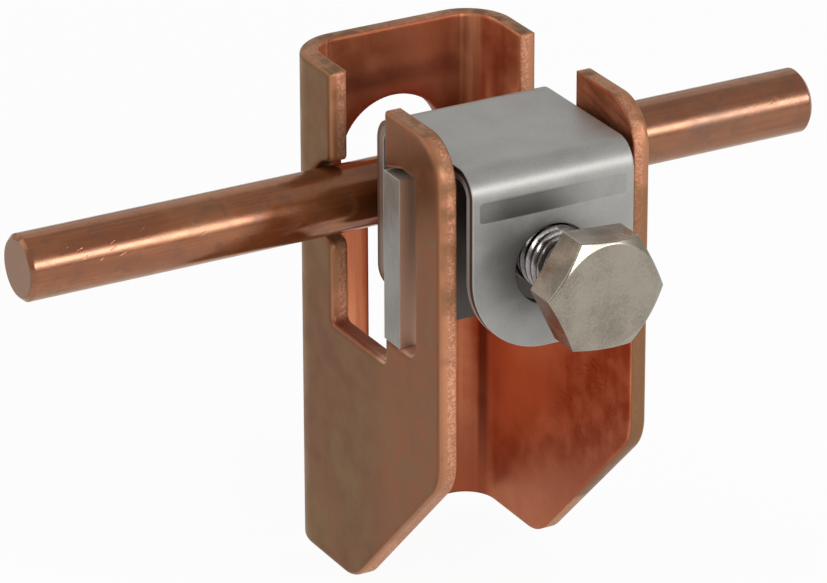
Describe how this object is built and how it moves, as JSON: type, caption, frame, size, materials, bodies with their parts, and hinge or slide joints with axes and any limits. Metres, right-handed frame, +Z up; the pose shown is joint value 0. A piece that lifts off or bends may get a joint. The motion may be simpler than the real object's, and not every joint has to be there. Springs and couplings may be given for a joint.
{
  "type": "wall conductor holder",
  "caption": "Folded copper wall bracket with open-topped side slots that clamps a round conductor behind a bolted steel clip.",
  "frame": {"origin": "centre of the bracket's wall face, half way up its height, where a wall screw passes the keyhole's slot", "axes": "+X along the conductor, +Y into the wall, out of the bracket's back, +Z up, towards the open ends of the slots"},
  "size_m": [0.1045, 0.0523, 0.063],
  "materials": {
    "bracket_copper": "satin, darkened copper",
    "conductor_copper": "drawn, satin copper",
    "plate_steel": "satin",
    "clip_steel": "satin",
    "bolt_steel": "bright"
  },
  "bodies": {
    "holder": {"bracket": "bracket_copper", "conductor": "conductor_copper", "nut_plate": "plate_steel"},
    "clip": {"clamp_clip": "clip_steel"},
    "bolt": {"clamp_bolt": "bolt_steel"}
  },
  "joints": [
    {"name": "clip_travel", "type": "slide", "parent": "holder", "child": "clip", "axis": [0, -1, 0], "range_m": [-0.0023, 0.006]},
    {"name": "bolt_turn", "type": "hinge", "parent": "clip", "child": "bolt", "pos_m": [0, -0.0463, 0.0162], "axis": [0, -1, 0], "range_deg": [-660, 1725]}
  ],
  "couplings": [
    {"joint": "clip_travel", "follows": "bolt_turn", "m_per_rad": 0.00019894}
  ]
}
